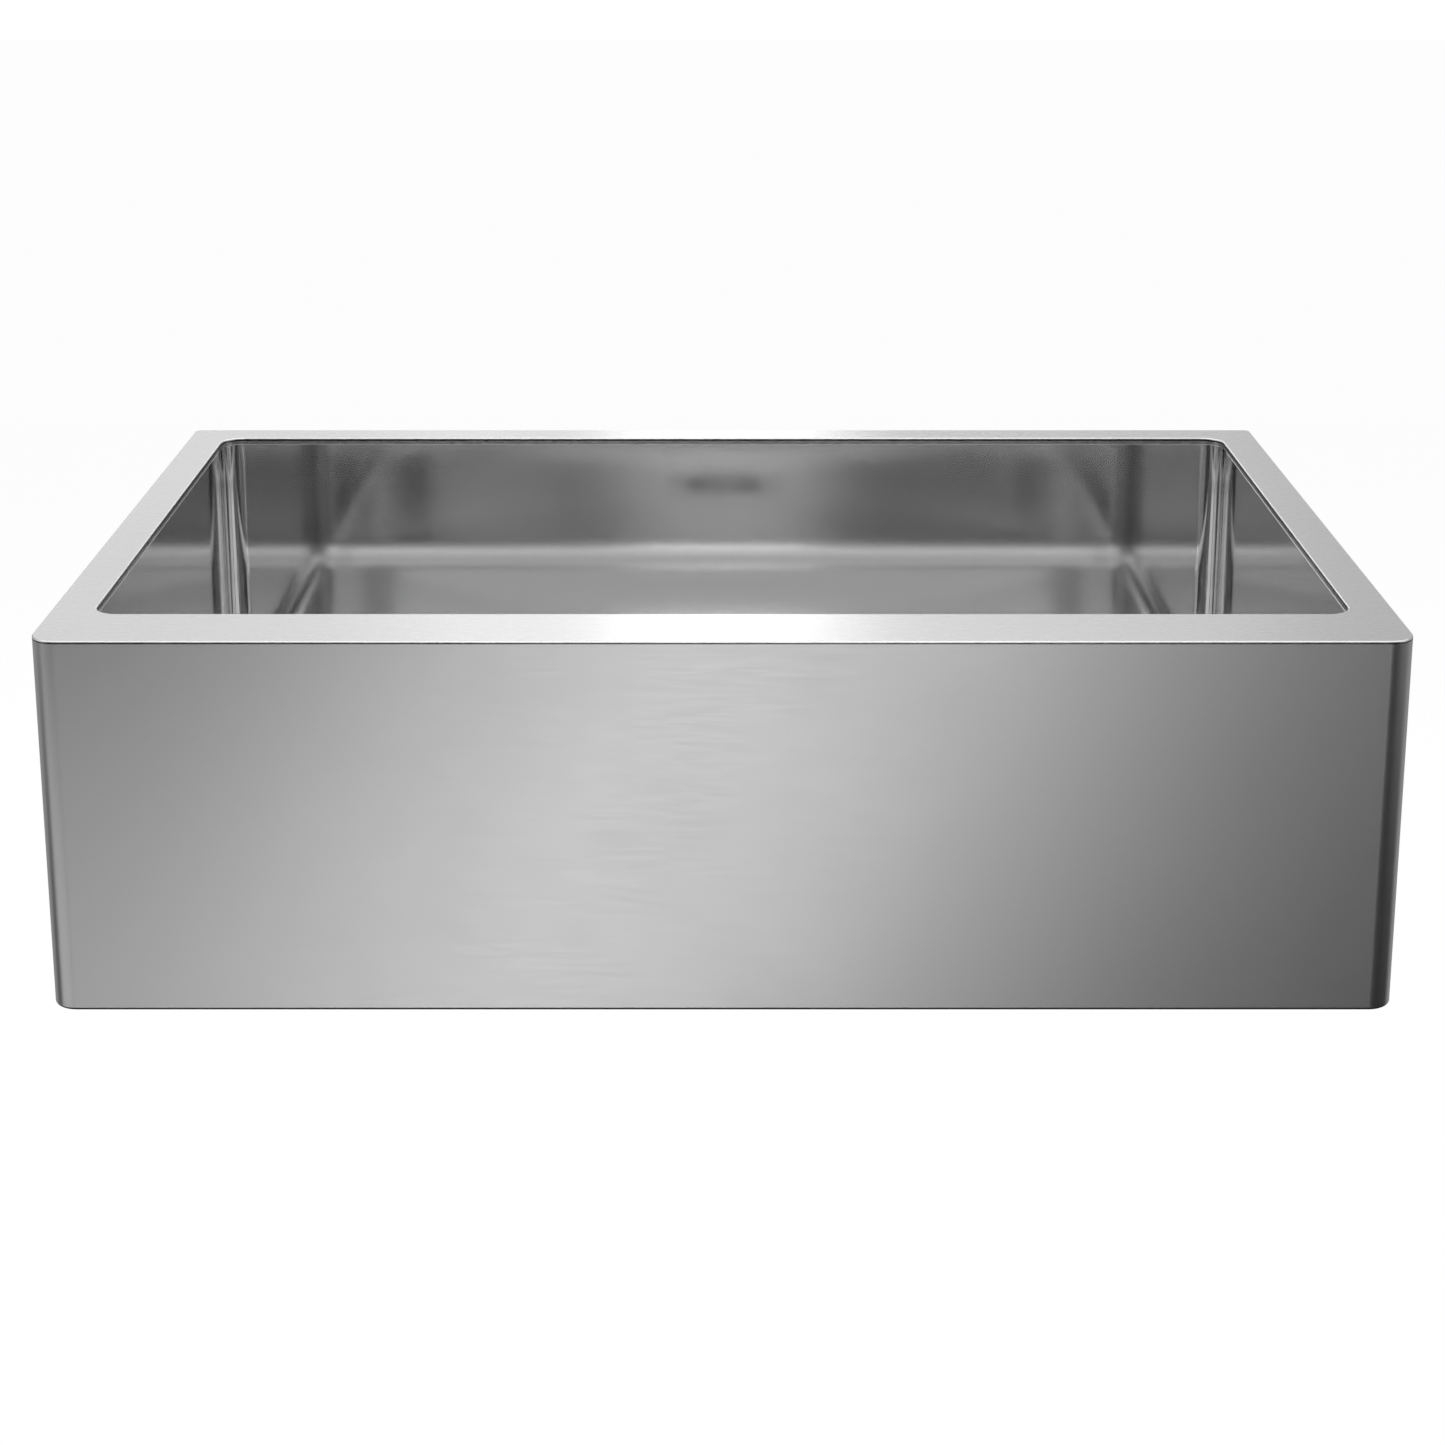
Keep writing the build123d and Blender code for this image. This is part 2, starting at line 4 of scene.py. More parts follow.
import bmesh
import bpy
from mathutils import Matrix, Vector

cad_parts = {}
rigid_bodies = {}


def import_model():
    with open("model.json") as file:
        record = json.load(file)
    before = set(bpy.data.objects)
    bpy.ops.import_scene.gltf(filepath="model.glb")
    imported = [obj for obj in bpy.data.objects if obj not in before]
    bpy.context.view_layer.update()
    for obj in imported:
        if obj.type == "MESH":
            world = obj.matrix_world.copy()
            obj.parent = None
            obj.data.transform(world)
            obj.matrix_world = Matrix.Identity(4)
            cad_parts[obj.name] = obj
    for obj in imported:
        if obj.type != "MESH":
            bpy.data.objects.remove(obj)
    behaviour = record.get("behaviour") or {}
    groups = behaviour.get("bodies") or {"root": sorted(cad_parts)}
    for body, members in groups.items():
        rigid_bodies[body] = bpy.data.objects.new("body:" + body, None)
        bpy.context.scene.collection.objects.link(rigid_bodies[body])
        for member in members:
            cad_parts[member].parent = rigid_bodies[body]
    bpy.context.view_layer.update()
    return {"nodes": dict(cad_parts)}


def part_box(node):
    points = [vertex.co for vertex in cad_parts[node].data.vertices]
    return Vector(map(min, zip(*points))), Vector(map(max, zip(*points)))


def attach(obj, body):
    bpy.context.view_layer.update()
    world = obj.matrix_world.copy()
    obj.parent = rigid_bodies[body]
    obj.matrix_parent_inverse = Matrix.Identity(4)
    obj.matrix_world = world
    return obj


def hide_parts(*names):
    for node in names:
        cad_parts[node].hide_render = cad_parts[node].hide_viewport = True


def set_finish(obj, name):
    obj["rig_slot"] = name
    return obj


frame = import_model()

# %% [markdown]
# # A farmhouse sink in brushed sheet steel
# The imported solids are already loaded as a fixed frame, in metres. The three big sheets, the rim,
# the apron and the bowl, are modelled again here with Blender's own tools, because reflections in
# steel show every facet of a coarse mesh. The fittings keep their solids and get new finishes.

rim_low, rim_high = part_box("rim_deck")
apron_low, apron_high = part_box("apron_panel")
bowl_low, bowl_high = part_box("bowl")
drain_low, drain_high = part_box("strainer_body")

sheet = rim_high.z
drain_centre = (drain_low + drain_high) / 2
opening_low = bowl_low + Vector((sheet, sheet, 0))
opening_high = bowl_high - Vector((sheet, sheet, 0))
print("sheet", round(sheet, 5), "opening", opening_high - opening_low)

# %% [markdown]
# ## Small helpers for modelling by hand
# An operator in edit mode acts on everything that is selected, so each step first clears the
# selection and then picks faces, edges or points by where they are. These helpers do only that.

# %% Helpers to open, pick and close
def make_active(piece):
    """Leave only this piece selected, in object mode."""
    bpy.ops.object.select_all(action="DESELECT")
    piece.select_set(True)
    bpy.context.view_layer.objects.active = piece


def named_primitive(name):
    """Name the primitive that was just added and bake its place and size into its mesh."""
    piece = bpy.context.active_object
    piece.name = name
    piece.data.name = name
    make_active(piece)
    bpy.ops.object.transform_apply(location=True, rotation=True, scale=True)
    return piece


def block(name, low, high):
    """A cube primitive that fills the space between two corners."""
    bpy.ops.object.select_all(action="DESELECT")
    middle = [(a + b) / 2 for a, b in zip(low, high)]
    size = [b - a for a, b in zip(low, high)]
    bpy.ops.mesh.primitive_cube_add(size=1, location=middle, scale=size)
    return named_primitive(name)


def edit(piece):
    """Open a piece in edit mode."""
    make_active(piece)
    bpy.ops.object.mode_set(mode="EDIT")


def close():
    """Leave edit mode."""
    bpy.ops.object.mode_set(mode="OBJECT")


def pick(kind, test):
    """Select only the faces, edges or points that pass a test, and return how many there are."""
    bpy.ops.mesh.select_mode(type=kind)
    bpy.ops.mesh.select_all(action="DESELECT")
    mesh = bpy.context.edit_object.data
    shape = bmesh.from_edit_mesh(mesh)
    parts = {"FACE": shape.faces, "EDGE": shape.edges, "VERT": shape.verts}[kind]
    found = [part for part in parts if test(part)]
    for part in found:
        part.select_set(True)
    shape.select_flush_mode()
    bmesh.update_edit_mesh(mesh)
    return len(found)


hair = 2e-5  # a fiftieth of a millimetre, the slack when places are compared
aligned = 0.9  # a face looks along an axis where its normal has more than this along it
sharp_fold = radians(60)


def near(value, target):
    """True where two lengths are the same within a hair."""
    return abs(value - target) < hair


def edge_at(edge, axis, target):
    """True where both ends of an edge lie at one height, depth or width."""
    return all(near(point.co[axis], target) for point in edge.verts)


# %% Helpers to thicken, soften and report
def apply_modifier(piece, kind, **settings):
    """Add a modifier, set it up and apply it."""
    make_active(piece)
    modifier = piece.modifiers.new(kind.lower(), kind)
    for setting, value in settings.items():
        setattr(modifier, setting, value)
    bpy.ops.object.modifier_apply(modifier=modifier.name)


def thicken(piece, thickness):
    """Give a sheet its thickness, behind the side that shows."""
    apply_modifier(
        piece,
        "SOLIDIFY",
        thickness=thickness,
        offset=-1,
        use_even_offset=True,
        use_quality_normals=True,
    )


smooth_below = radians(35)


def smooth_sheet(piece):
    """Smooth the bends but keep the flat panels truly flat in the reflections."""
    make_active(piece)
    bpy.ops.object.shade_smooth_by_angle(angle=smooth_below)
    apply_modifier(piece, "WEIGHTED_NORMAL", keep_sharp=True, weight=90)


def fit_in_frame(piece, body, slot, *nodes):
    """Put a finished piece on its body, in place of the solids that it stands for."""
    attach(piece, body)
    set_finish(piece, slot)
    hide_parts(*nodes)
    print(piece.name, len(piece.data.polygons), "faces, for", ", ".join(nodes))


# %% [markdown]
# ## The rim
# On the real sink the rim is one flat frame, laser cut and bent down a few millimetres all round
# the opening. It could be a cube with a hole cut by a Boolean, but that leaves ragged faces where
# the round corners meet the flat. Two outlines bridged together give clean faces all the way round.

# %% Outlines of the rim and of the opening
apron_corner = 0.0162
back_corner = 0.004
bowl_corner = 0.016
corner_steps = 16


def rounded_plane(name, low, high, height, front_radius, back_radius):
    """A flat rectangle with rounded corners, at a height."""
    bpy.ops.object.select_all(action="DESELECT")
    middle = ((low.x + high.x) / 2, (low.y + high.y) / 2, height)
    bpy.ops.mesh.primitive_plane_add(size=1, location=middle)
    bpy.context.active_object.scale = (high.x - low.x, high.y - low.y, 1)
    piece = named_primitive(name)
    edit(piece)
    for radius, edge_y in ((front_radius, low.y), (back_radius, high.y)):
        pick("VERT", lambda point: near(point.co.y, edge_y))
        bpy.ops.mesh.bevel(
            offset=radius,
            segments=corner_steps,
            profile=0.5,
            affect="VERTICES",
            clamp_overlap=False,
        )
    close()
    return piece


rim = rounded_plane("rim_sheet", rim_low, rim_high, sheet, apron_corner, back_corner)
opening = rounded_plane("opening", opening_low, opening_high, sheet, bowl_corner, bowl_corner)
print("outline points", len(rim.data.vertices), len(opening.data.vertices))

# %% Bridge the outlines, turn the lip down and give the sheet its thickness
rim_edge = 0.0011
rim_edge_steps = 5
outline_slack = 0.001
rim.select_set(True)
opening.select_set(True)
bpy.context.view_layer.objects.active = rim
bpy.ops.object.join()
edit(rim)
pick("FACE", lambda face: True)
bpy.ops.mesh.delete(type="ONLY_FACE")
pick("EDGE", lambda edge: True)
bpy.ops.mesh.bridge_edge_loops()
bpy.ops.mesh.select_all(action="SELECT")
bpy.ops.mesh.normals_make_consistent(inside=False)
close()
up = sum(face.normal.z > 0 for face in rim.data.polygons)
print("rim faces that point up", up, "of", len(rim.data.polygons))


def inside_opening(point, slack=outline_slack):
    """True where a point lies on or within the outline of the opening."""
    return (
        opening_low.x - slack < point.x < opening_high.x + slack
        and opening_low.y - slack < point.y < opening_high.y + slack
    )


edit(rim)
if not up:
    bpy.ops.mesh.select_all(action="SELECT")
    bpy.ops.mesh.flip_normals()
pick("EDGE", lambda edge: edge.is_boundary and all(inside_opening(p.co) for p in edge.verts))
bpy.ops.mesh.extrude_region_move(
    TRANSFORM_OT_translate={"value": (0, 0, rim_low.z - sheet)}
)
close()
thicken(rim, sheet)
edit(rim)
pick(
    "EDGE",
    lambda edge: edge_at(edge, 2, sheet) and edge.calc_face_angle(0) > sharp_fold,
)
bpy.ops.mesh.bevel(
    offset=rim_edge, segments=rim_edge_steps, profile=0.5, affect="EDGES", clamp_overlap=False
)
close()
smooth_sheet(rim)
fit_in_frame(rim, "sink", "rim_steel", "rim_deck")

# %% [markdown]
# ## The apron
# The apron is one folded panel: a tall face, rolled back round both front corners, with its lower
# edge turned inwards. A cube without its top and back is already that fold, so the corners are
# bevelled, the lower edge is bent with a second, tighter bevel, and the underside is cut back to a
# narrow flange with three bisecting planes.

# %% Fold the apron
apron_bend = 0.0022
apron_bend_steps = 6
apron_flange = 0.022
seam = 0.0005
apron = block("apron_sheet", apron_low, apron_high)
edit(apron)
pick("FACE", lambda face: face.normal.z > aligned or face.normal.y > aligned)
bpy.ops.mesh.delete(type="FACE")
pick(
    "EDGE",
    lambda edge: edge_at(edge, 1, apron_low.y) and not edge_at(edge, 2, edge.verts[0].co.z),
)
bpy.ops.mesh.bevel(
    offset=apron_corner, segments=corner_steps, profile=0.5, affect="EDGES", clamp_overlap=False
)
pick("EDGE", lambda edge: edge_at(edge, 2, apron_low.z) and not edge.is_boundary)
bpy.ops.mesh.bevel(
    offset=apron_bend, segments=apron_bend_steps, profile=0.5, affect="EDGES", clamp_overlap=False
)
close()
print("folded apron", len(apron.data.polygons), "faces")

# %% Cut the underside back to a flange
straight_down = -0.99  # a face is part of the underside where its normal's height is below this
flange_low = apron_low + Vector((apron_flange, apron_flange, 0))
flange_high = apron_high - Vector((apron_flange, 0, 0))
edit(apron)
for cut_place, cut_normal in (
    (flange_low, (1, 0, 0)),
    (flange_high, (1, 0, 0)),
    (flange_low, (0, 1, 0)),
):
    pick("FACE", lambda face: face.normal.z < straight_down)
    bpy.ops.mesh.bisect(plane_co=cut_place, plane_no=cut_normal)


def over_cut_out(face):
    """True for the part of the underside that is cut away."""
    middle = face.calc_center_median()
    return (
        face.normal.z < straight_down
        and flange_low.x < middle.x < flange_high.x
        and middle.y > flange_low.y
    )


print("cut out", pick("FACE", over_cut_out))
bpy.ops.mesh.delete(type="FACE")
close()


def outer_top_edge(edge):
    """True for the top edge of the apron's outer side, which meets the rim."""
    if not edge_at(edge, 2, apron_high.z) or edge_at(edge, 1, apron_high.y):
        return False
    upright = min(edge.link_faces, key=lambda face: abs(face.normal.z))
    outwards = (edge.verts[0].co + edge.verts[1].co - apron_low - apron_high) / 2
    return edge.calc_face_angle(0) > sharp_fold and upright.normal.dot(outwards) > 0


thicken(apron, sheet)
edit(apron)
print("seam edges", pick("EDGE", outer_top_edge))
bpy.ops.mesh.bevel(offset=seam, segments=1, affect="EDGES", clamp_overlap=False)
close()
smooth_sheet(apron)
fit_in_frame(apron, "sink", "apron_steel", "apron_panel")

# %% [markdown]
# ## The bowl
# The bowl is pressed from one sheet: upright walls, rolled corners, a cove where the walls meet the
# floor, a floor that falls to the drain and a round recess there for the strainer's flange. The
# reflections in it are most of what the eye sees, so the bends have many steps. The floor is made
# by bridging the cove's outline to a circle with as many points. Straight lines between the two
# would leave a crease from each corner, so the heights in between are then relaxed.

# %% Walls, corners and cove
bowl_cove = 0.015
bowl_cove_steps = 12
floor_fall = 0.004
recess_depth = 0.003
recess_radius = 0.0585
drain_hole = 0.04445
seat_z = bowl_low.z + sheet
recess_z = seat_z + recess_depth
floor_z = recess_z + floor_fall
bowl = block(
    "bowl_pressing",
    (opening_low.x, opening_low.y, floor_z),
    (opening_high.x, opening_high.y, rim_low.z),
)
edit(bowl)
pick("FACE", lambda face: face.normal.z > aligned)
bpy.ops.mesh.delete(type="FACE")
pick("EDGE", lambda edge: not near(edge.verts[0].co.z, edge.verts[1].co.z))
bpy.ops.mesh.bevel(
    offset=bowl_corner, segments=corner_steps, profile=0.5, affect="EDGES", clamp_overlap=False
)
pick("EDGE", lambda edge: edge_at(edge, 2, floor_z))
bpy.ops.mesh.bevel(
    offset=bowl_cove, segments=bowl_cove_steps, profile=0.5, affect="EDGES", clamp_overlap=False
)
print("floor outline", pick("VERT", lambda point: near(point.co.z, floor_z)), "points")
close()

# %% Cut the long sides into short lengths
cuts_across, cuts_back = 23, 13
edit(bowl)
pick("FACE", lambda face: all(near(point.co.z, floor_z) for point in face.verts))
bpy.ops.mesh.delete(type="FACE")
for cut_normal, cuts in (((1, 0, 0), cuts_across), ((0, 1, 0), cuts_back)):
    for step in range(1, cuts + 1):
        cut_place = opening_low.lerp(opening_high, step / (cuts + 1))
        bpy.ops.mesh.select_all(action="SELECT")
        bpy.ops.mesh.bisect(plane_co=cut_place, plane_no=cut_normal)
close()
floor_points = sum(near(point.co.z, floor_z) for point in bowl.data.vertices)
print("floor outline", floor_points, "points after the cuts")

# %% Floor, recess and outlet
floor_rings = 9
relaxing_passes = 60
height_slack = 1e-5
edit(bowl)
bpy.ops.mesh.primitive_circle_add(
    vertices=floor_points,
    radius=recess_radius,
    location=(drain_centre.x, drain_centre.y, recess_z),
    rotation=(0, 0, pi / floor_points),
)
pick("EDGE", lambda edge: edge.is_wire or edge.is_boundary and not edge_at(edge, 2, rim_low.z))
bpy.ops.mesh.bridge_edge_loops(number_cuts=floor_rings, interpolation="LINEAR")
pick("VERT", lambda point: recess_z + height_slack < point.co.z < floor_z - height_slack)
bpy.ops.mesh.vertices_smooth(
    factor=0.5, repeat=relaxing_passes, xaxis=False, yaxis=False, zaxis=True
)
pick("EDGE", lambda edge: edge.is_boundary and edge_at(edge, 2, recess_z))
bpy.ops.mesh.extrude_region_move(TRANSFORM_OT_translate={"value": (0, 0, -recess_depth)})
bpy.ops.mesh.extrude_region_move()
outlet_share = drain_hole / recess_radius
bpy.ops.transform.resize(value=(outlet_share, outlet_share, 1), center_override=drain_centre)
bpy.ops.mesh.select_all(action="SELECT")
bpy.ops.mesh.normals_make_consistent(inside=True)
close()
into_bowl = sum(face.normal.z > aligned for face in bowl.data.polygons)
print("bowl", len(bowl.data.polygons), "faces,", into_bowl, "of the floor point up")

# %% Soften the recess, thicken the sheet and dress the weld seam under the rim
recess_bend = 0.0008
recess_bend_steps = 4
edit(bowl)
if not into_bowl:
    bpy.ops.mesh.select_all(action="SELECT")
    bpy.ops.mesh.flip_normals()
pick(
    "EDGE",
    lambda edge: not edge.is_boundary
    and (edge_at(edge, 2, recess_z) or edge_at(edge, 2, seat_z))
    and edge.calc_face_angle(0) > sharp_fold,
)
bpy.ops.mesh.bevel(
    offset=recess_bend, segments=recess_bend_steps, profile=0.5, affect="EDGES", clamp_overlap=False
)
close()
thicken(bowl, sheet)
edit(bowl)
pick(
    "EDGE",
    lambda edge: edge_at(edge, 2, rim_low.z)
    and edge.calc_face_angle(0) > sharp_fold
    and all(inside_opening(point.co, slack=hair) for point in edge.verts),
)
bpy.ops.mesh.bevel(offset=seam, segments=1, affect="EDGES", clamp_overlap=False)
close()
smooth_sheet(bowl)
fit_in_frame(bowl, "sink", "bowl_steel", "bowl")

# %% [markdown]
# ## Brushed steel
# Every sheet has been drawn under an abrasive belt, which leaves hairlines all in one direction.
# They could be painted as an image, but an image would stretch round the bends. Here a noise
# pattern is squeezed across the lines and drawn out along them, once for level faces and once for
# upright ones, and it moves both the roughness and the height of the surface.

# %% Helpers for building a finish from nodes
def new_finish(name, colour, metallic, roughness):
    """A node material with the values that are the same all over it."""
    finish = bpy.data.materials.new(name)
    finish.use_nodes = True
    shader = finish.node_tree.nodes["Principled BSDF"]
    shader.inputs["Base Color"].default_value = (*colour, 1)
    shader.inputs["Metallic"].default_value = metallic
    shader.inputs["Roughness"].default_value = roughness
    return finish


def add_node(finish, kind, inputs=None, **settings):
    """One node, with its settings, and with each input given a value or wired to an output."""
    node = finish.node_tree.nodes.new(f"ShaderNode{kind}")
    for setting, value in settings.items():
        setattr(node, setting, value)
    for socket, value in (inputs or {}).items():
        if isinstance(value, bpy.types.NodeSocket):
            finish.node_tree.links.new(value, node.inputs[socket])
        else:
            node.inputs[socket].default_value = value
    return node


def wire(finish, output, socket):
    """Wire an output to a socket of the finish's main shader."""
    shader = finish.node_tree.nodes["Principled BSDF"]
    finish.node_tree.links.new(output, shader.inputs[socket])


def place_on_piece(finish, output="Object"):
    """The point's place on the object, or its object-space normal."""
    return add_node(finish, "TexCoord").outputs[output]


def maths(finish, operation, first, second=0.0):
    """One sum, product or comparison."""
    return add_node(finish, "Math", {0: first, 1: second}, operation=operation).outputs[0]


def squeezed_noise(finish, scale, detail=2.0):
    """Noise with its own scale along each axis, in features per metre."""
    mapped = add_node(
        finish, "Mapping", {"Vector": place_on_piece(finish), "Scale": scale}
    ).outputs[0]
    noise = add_node(finish, "TexNoise", {"Vector": mapped, "Scale": 1.0, "Detail": detail})
    return noise.outputs["Fac"]


def spread(finish, value, low, high):
    """Noise runs from about 0.3 to 0.7, and this stretches it to the wanted range."""
    return add_node(
        finish,
        "MapRange",
        {"Value": value, "From Min": 0.3, "From Max": 0.7, "To Min": low, "To Max": high},
    ).outputs[0]


def bump(finish, height, strength, distance=0.0002):
    """Turn a height pattern into a surface relief."""
    relief = add_node(
        finish, "Bump", {"Height": height, "Strength": strength, "Distance": distance}
    )
    wire(finish, relief.outputs[0], "Normal")


# %% The finishes of the rim, the apron and the bowl
level_share = 0.7  # a face counts as level where its normal has more than this upright
line_stretch = 40  # how many times longer than wide a hairline is
polish_patches = 7  # slow patches in the polish, per metre


def brushed_steel(name, grey, roughness, uneven, anisotropy, hairline, relief):
    """Sheet steel with hairlines along its length, and a slow unevenness in its polish."""
    finish = new_finish(name, (grey, grey, grey), 1.0, roughness)
    shader = finish.node_tree.nodes["Principled BSDF"]
    shader.inputs["Anisotropic"].default_value = anisotropy
    tangent = add_node(finish, "Tangent", direction_type="RADIAL", axis="Z")
    wire(finish, tangent.outputs[0], "Tangent")
    facing = add_node(finish, "SeparateXYZ", {0: place_on_piece(finish, "Normal")})
    upright_share = maths(finish, "ABSOLUTE", facing.outputs["Z"])
    level = maths(finish, "GREATER_THAN", upright_share, level_share)
    along = hairline / line_stretch
    on_level = squeezed_noise(finish, (along, hairline, hairline))
    on_upright = squeezed_noise(finish, (along, along, hairline))
    lines = add_node(finish, "Mix", {0: level, 2: on_upright, 3: on_level}).outputs[0]
    patches = squeezed_noise(finish, (polish_patches,) * 3, detail=3.0)
    polish = maths(
        finish,
        "ADD",
        spread(finish, lines, roughness - uneven, roughness + uneven),
        spread(finish, patches, -uneven / 2, uneven / 2),
    )
    wire(finish, polish, "Roughness")
    bump(finish, lines, relief)
    return finish


rim_grey, apron_grey, bowl_grey = 0.68, 0.62, 0.66
finishes = {
    "rim_steel": brushed_steel(
        "rim_steel_brushed", rim_grey, roughness=0.27, uneven=0.012,
        anisotropy=0.2, hairline=3000, relief=0.008,
    ),
    "apron_steel": brushed_steel(
        "apron_steel_brushed", apron_grey, roughness=0.33, uneven=0.015,
        anisotropy=0.3, hairline=1800, relief=0.02,
    ),
    "bowl_steel": brushed_steel(
        "bowl_steel_satin", bowl_grey, roughness=0.068, uneven=0.007,
        anisotropy=0.1, hairline=1500, relief=0.004,
    ),
}
print("sheet finishes", ", ".join(finishes))

# %% [markdown]
# ## Painted highlights on the edges and painted shade in the seams
# The rim's rounded edges get a near-white grey, a painted highlight. The fine joints under it,
# round the opening and along the apron, are so narrow that their shade reads as black lines, so
# they get a near-black grey: painted shade. Both could be thin extra strips of mesh, but they
# follow the shape, so they come from the height and facing of the surface.

# %% Painted highlight and painted shade that follow the shape
def mix_grey(finish, mask, plain_grey, masked_grey):
    """One grey where the mask is 0 and another where it is 1; either may be an output."""
    colours = [
        grey if isinstance(grey, bpy.types.NodeSocket) else (grey, grey, grey, 1)
        for grey in (plain_grey, masked_grey)
    ]
    mixed = add_node(finish, "Mix", {0: mask, 6: colours[0], 7: colours[1]}, data_type="RGBA")
    return mixed.outputs[2]


def height_of(finish):
    """The height of a point on the piece, in metres."""
    return add_node(finish, "SeparateXYZ", {0: place_on_piece(finish)}).outputs["Z"]


# A near-black grey for painted shade in the narrow gaps, and a near-white grey for a painted
# highlight on the rim's rounded edges.
painted_shade_grey = 0.04
painted_highlight_grey = 0.95
apron_shade_width = 0.0007
lip_shade_width = 0.001
lip_shade_z = -0.0006
upright_facing, level_facing = 0.08, 0.985  # the rounded edge looks between these
rim_finish = finishes["rim_steel"]
rim_facing = add_node(rim_finish, "SeparateXYZ", {0: place_on_piece(rim_finish, "Normal")})
rounded = maths(
    rim_finish,
    "MULTIPLY",
    maths(rim_finish, "GREATER_THAN", rim_facing.outputs["Z"], upright_facing),
    maths(rim_finish, "LESS_THAN", rim_facing.outputs["Z"], level_facing),
)
# The rim's rounded edges get the painted highlight.
with_painted_highlight = mix_grey(rim_finish, rounded, rim_grey, painted_highlight_grey)
# A band round the lip, just under the rim's sheet, gets painted shade.
from_lip_shade = maths(rim_finish, "SUBTRACT", height_of(rim_finish), lip_shade_z)
from_lip_shade = maths(rim_finish, "ABSOLUTE", from_lip_shade)
in_lip_shade = maths(rim_finish, "LESS_THAN", from_lip_shade, lip_shade_width / 2)
wire(rim_finish, mix_grey(rim_finish, in_lip_shade, with_painted_highlight, painted_shade_grey), "Base Color")
apron_finish = finishes["apron_steel"]
# The top of the apron, just under the rim's edge, gets a band of painted shade.
in_apron_shade = maths(apron_finish, "GREATER_THAN", height_of(apron_finish), apron_high.z - apron_shade_width)
wire(apron_finish, mix_grey(apron_finish, in_apron_shade, apron_grey, painted_shade_grey), "Base Color")
print("dark lines", lip_shade_width, "wide on the lip and", apron_shade_width, "on the apron")

# %% [markdown]
# ## The hidden fittings
# Under the rim there are galvanised braces and rails, rubber pads that deaden the sound,
# zinc-plated clips, and the strainer with its seals. Each gets the finish of its real material:
# spangle on galvanised steel, a pebbled skin on rubber, lathe rings on spun steel, fibres in the
# paper washer. Screw threads are too fine to be worth modelling, so they are relief in the finish.

# %% Plated, cast and galvanised metals
grains_per_patch = 3


def patchy_metal(name, colour, roughness, uneven, patch, relief):
    """Plated, cast or galvanised metal with crystal-like patches, so many to the metre."""
    finish = new_finish(name, colour, 1.0, roughness)
    cells = add_node(
        finish, "TexVoronoi", {"Vector": place_on_piece(finish), "Scale": patch}
    ).outputs["Color"]
    wire(finish, spread(finish, cells, roughness - uneven, roughness + uneven), "Roughness")
    bump(finish, squeezed_noise(finish, (patch * grains_per_patch,) * 3), relief)
    return finish


finishes["bracket_steel"] = patchy_metal(
    "bracket_galvanised", (0.50, 0.51, 0.52), roughness=0.42, uneven=0.08, patch=160, relief=0.1
)
finishes["clip_zinc"] = patchy_metal(
    "clip_zinc_plated", (0.60, 0.60, 0.58), roughness=0.30, uneven=0.05, patch=300, relief=0.1
)
finishes["locknut_metal"] = patchy_metal(
    "locknut_cast", (0.42, 0.42, 0.42), roughness=0.45, uneven=0.05, patch=500, relief=0.3
)

# %% Spun and chromed metals, with lathe rings and screw threads
thread_pitch = 0.0016
thread_band = 0.0003  # how near to the thread's radius a point has to be to carry it
barrel_radius = 0.0425
neck_radius = 0.023
ring_uneven = 0.04
ring_height = 0.15  # a lathe ring's height, as a share of a thread's
lathe_relief = 0.0006


def spun_metal(name, grey, roughness, ring_pitch, relief, thread_radii=()):
    """Metal turned on a lathe about the drain's axis, threaded at the radii given."""
    finish = new_finish(name, (grey, grey, grey), 1.0, roughness)
    from_axis = add_node(
        finish,
        "VectorMath",
        {0: place_on_piece(finish), 1: (drain_centre.x, drain_centre.y, 0)},
        operation="SUBTRACT",
    )
    parts = add_node(finish, "SeparateXYZ", {0: from_axis.outputs[0]}).outputs
    radius = maths(
        finish,
        "SQRT",
        maths(
            finish,
            "ADD",
            maths(finish, "MULTIPLY", parts["X"], parts["X"]),
            maths(finish, "MULTIPLY", parts["Y"], parts["Y"]),
        ),
    )
    rings = add_node(
        finish, "TexNoise", {"W": maths(finish, "DIVIDE", radius, ring_pitch), "Scale": 1.0},
        noise_dimensions="1D",
    ).outputs["Fac"]
    polish = spread(finish, rings, roughness - ring_uneven, roughness + ring_uneven)
    wire(finish, polish, "Roughness")
    height = maths(finish, "MULTIPLY", rings, ring_height)
    for thread_radius in thread_radii:
        turn = maths(finish, "PINGPONG", parts["Z"], thread_pitch / 2)
        depth = maths(finish, "DIVIDE", turn, thread_pitch / 2)
        gap = maths(finish, "ABSOLUTE", maths(finish, "SUBTRACT", radius, thread_radius))
        there = maths(finish, "LESS_THAN", gap, thread_band)
        height = maths(finish, "ADD", height, maths(finish, "MULTIPLY", depth, there))
    bump(finish, height, relief, lathe_relief)
    return finish


finishes["strainer_steel"] = spun_metal(
    "strainer_steel_spun", 0.76, roughness=0.2, ring_pitch=0.0006, relief=0.5,
    thread_radii=(barrel_radius, neck_radius),
)
finishes["tailpiece_chrome"] = spun_metal(
    "tailpiece_chrome_bright", 0.72, roughness=0.09, ring_pitch=0.002, relief=0.1
)

# %% Rubber, putty, fibre and plastic
pebbles_per_mottle = 6
skin_uneven = 0.06
skin_relief = 0.0004


